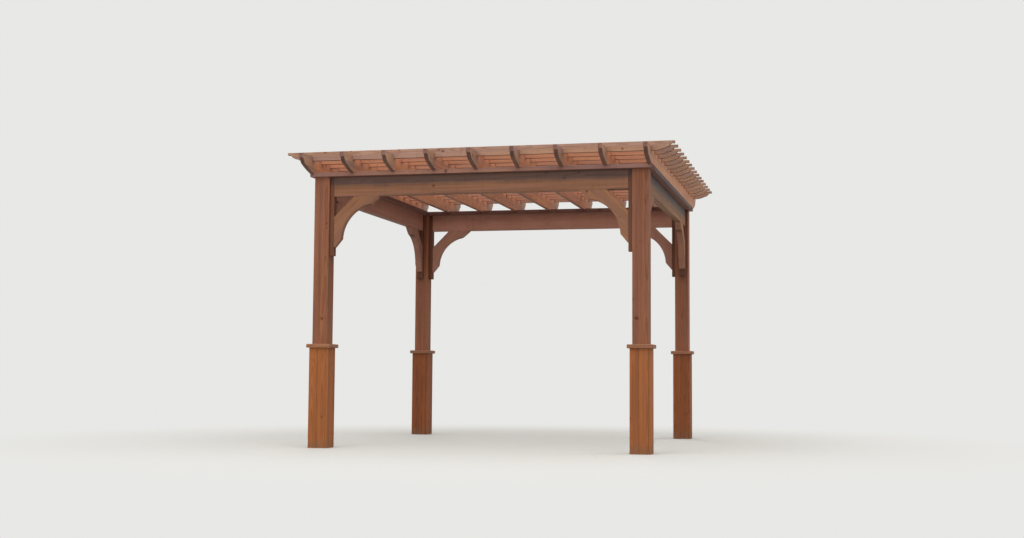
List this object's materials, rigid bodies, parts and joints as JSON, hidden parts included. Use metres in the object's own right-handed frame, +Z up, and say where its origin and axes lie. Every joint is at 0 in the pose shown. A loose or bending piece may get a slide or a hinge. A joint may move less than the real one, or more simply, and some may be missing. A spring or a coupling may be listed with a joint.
{
  "type": "wooden pergola",
  "caption": "Square garden pergola: boxed post feet, curved corner braces, flat top plates, scroll-ended rafters and slats lapped across them.",
  "frame": {"origin": "on the ground, in the middle of the plan", "axes": "+X right, +Y towards the back, +Z up"},
  "size_m": [3.572, 3.88, 2.702],
  "materials": {
    "post_wood": "satin",
    "base_wrap_wood": "satin",
    "base_cap_wood": "satin",
    "beam_wood": "satin",
    "top_plate_wood": "satin",
    "brace_wood": "satin",
    "cleat_wood": "satin",
    "rafter_wood": "satin",
    "slat_wood": "satin"
  },
  "bodies": {
    "root": {"post_front_left": "post_wood", "base_wrap_front_left": "base_wrap_wood", "base_cap_front_left": "base_cap_wood", "post_front_right": "post_wood", "base_wrap_front_right": "base_wrap_wood", "base_cap_front_right": "base_cap_wood", "post_rear_left": "post_wood", "base_wrap_rear_left": "base_wrap_wood", "base_cap_rear_left": "base_cap_wood", "post_rear_right": "post_wood", "base_wrap_rear_right": "base_wrap_wood", "base_cap_rear_right": "base_cap_wood", "beam_front": "beam_wood", "top_plate_front": "top_plate_wood", "cleats_front": "cleat_wood", "beam_rear": "beam_wood", "top_plate_rear": "top_plate_wood", "cleats_rear": "cleat_wood", "beam_left": "beam_wood", "top_plate_left": "top_plate_wood", "cleats_left": "cleat_wood", "beam_right": "beam_wood", "top_plate_right": "top_plate_wood", "cleats_right": "cleat_wood", "brace_front_left": "brace_wood", "brace_front_right": "brace_wood", "brace_rear_left": "brace_wood", "brace_rear_right": "brace_wood", "brace_left_front": "brace_wood", "brace_right_front": "brace_wood", "brace_left_rear": "brace_wood", "brace_right_rear": "brace_wood", "rafter_1": "rafter_wood", "rafter_2": "rafter_wood", "rafter_3": "rafter_wood", "rafter_4": "rafter_wood", "rafter_5": "rafter_wood", "rafter_6": "rafter_wood", "rafter_7": "rafter_wood", "rafter_8": "rafter_wood", "rafter_9": "rafter_wood", "slats_front": "slat_wood", "slats_front_middle": "slat_wood", "slats_rear_middle": "slat_wood", "slats_rear": "slat_wood"}
  },
  "joints": []
}
